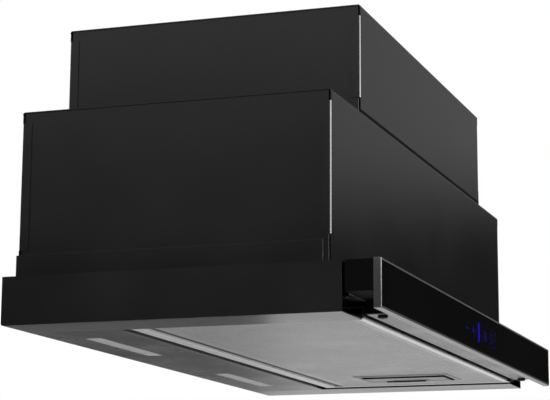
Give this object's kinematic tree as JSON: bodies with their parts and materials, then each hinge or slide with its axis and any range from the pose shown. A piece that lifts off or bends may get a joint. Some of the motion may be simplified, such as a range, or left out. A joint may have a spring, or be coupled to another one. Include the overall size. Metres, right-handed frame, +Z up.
{
  "type": "pull out range hood",
  "caption": "Built-in pull out range hood: stepped black steel body, glass front with touch controls on ball runners, grease filter, two lamps, centrifugal blower and round outlet with flaps.",
  "frame": {"origin": "centre of the closed hood, seen from above, at the height of the base frame's underside", "axes": "+Z up, the glass front faces -Y, +X is the cook's right"},
  "size_m": [0.596, 0.296, 0.292],
  "materials": {
    "black_enamel": "satin powder coat on sheet steel",
    "brushed_steel": "brushed along its length",
    "polished_steel": "polished steel rail",
    "perforated_steel": "perforated sheet",
    "filter_aluminium": "expanded aluminium mesh",
    "lamp_diffuser": "frosted diffuser",
    "lamp_can": "white lacquer",
    "black_glass": "back painted tempered glass, glossy",
    "edge_profile": "anodised",
    "black_plastic": "moulded",
    "dark_plastic": "moulded",
    "grey_plastic": "moulded",
    "white_plastic": "moulded",
    "black_screws": "black zinc",
    "circuit_board": "solder mask",
    "zinc_steel": "zinc plated",
    "runner_cage": "pressed steel strip with balls",
    "shaft_steel": "ground",
    "brass_nut": "machined",
    "cast_aluminium": "die cast",
    "rubber": "moulded",
    "capacitor_can": "drawn can",
    "magnet": "sintered ferrite"
  },
  "bodies": {
    "housing": {"base_frame": "black_enamel", "skirt": "black_enamel", "lower_wrap": "black_enamel", "lower_side_left": "black_enamel", "lower_side_right": "black_enamel", "upper_wrap": "black_enamel", "upper_side_left": "black_enamel", "upper_side_right": "black_enamel", "lamp_plate": "brushed_steel", "lamp_lens_left": "lamp_diffuser", "lamp_lens_right": "lamp_diffuser", "lamp_board_left": "lamp_can", "lamp_board_right": "lamp_can", "runner_outer_left": "zinc_steel", "runner_outer_right": "zinc_steel", "volute_left": "grey_plastic", "volute_right": "grey_plastic", "volute_screws": "zinc_steel", "motor_housing": "cast_aluminium", "motor_bracket": "zinc_steel", "motor_mounts": "rubber", "motor_screws": "zinc_steel", "capacitor": "capacitor_can", "capacitor_clip": "zinc_steel", "power_box": "white_plastic", "power_box_lid": "white_plastic", "cable_gland": "black_plastic", "outlet_collar": "black_plastic", "collar_screws": "zinc_steel", "flap_spindle": "shaft_steel", "position_sensor": "dark_plastic"},
    "pull_out": {"front_glass": "black_glass", "panel_frame": "edge_profile", "front_crossmember": "black_plastic", "control_cover": "brushed_steel", "cover_screws": "black_screws", "control_board": "circuit_board", "visor_sheet": "brushed_steel", "runner_inner_left": "zinc_steel", "runner_inner_right": "zinc_steel", "sensor_magnet": "magnet"},
    "ball_cages": {"ball_cage_left": "runner_cage", "ball_cage_right": "runner_cage"},
    "fan_rotor": {"impeller": "dark_plastic", "motor_shaft": "shaft_steel", "shaft_nut": "brass_nut"},
    "front_flap": {"flap_front": "dark_plastic"},
    "rear_flap": {"flap_rear": "dark_plastic"},
    "grease_filter": {"filter_frame": "polished_steel", "filter_face": "perforated_steel", "filter_mesh": "filter_aluminium", "filter_back": "filter_aluminium", "latch_housing": "grey_plastic"},
    "filter_latch": {"filter_handle": "grey_plastic"}
  },
  "joints": [
    {"name": "front_pull", "type": "slide", "parent": "housing", "child": "pull_out", "axis": [0, -1, 0], "range_m": [0, 0.18]},
    {"name": "ball_cage_travel", "type": "slide", "parent": "housing", "child": "ball_cages", "axis": [0, -1, 0], "range_m": [0, 0.09]},
    {"name": "fan_spin", "type": "hinge", "parent": "housing", "child": "fan_rotor", "pos_m": [0, -0.014, 0.15], "axis": [1, 0, 0], "continuous": true},
    {"name": "front_flap_swing", "type": "hinge", "parent": "housing", "child": "front_flap", "pos_m": [0, 0.028, 0.267], "axis": [-1, 0, 0], "range_deg": [0, 75]},
    {"name": "rear_flap_swing", "type": "hinge", "parent": "housing", "child": "rear_flap", "pos_m": [0, 0.028, 0.267], "axis": [1, 0, 0], "range_deg": [0, 75]},
    {"name": "filter_drop", "type": "hinge", "parent": "housing", "child": "grease_filter", "pos_m": [-0.2495, -0.03325, 0.0015], "axis": [0, 1, 0], "range_deg": [0, 60]},
    {"name": "latch_pull", "type": "slide", "parent": "grease_filter", "child": "filter_latch", "axis": [-1, 0, 0], "range_m": [0, 0.006], "stiffness_N_per_m": 300, "springref_m": -0.003}
  ],
  "couplings": [
    {"joint": "ball_cage_travel", "follows": "front_pull", "ratio": 0.5}
  ]
}
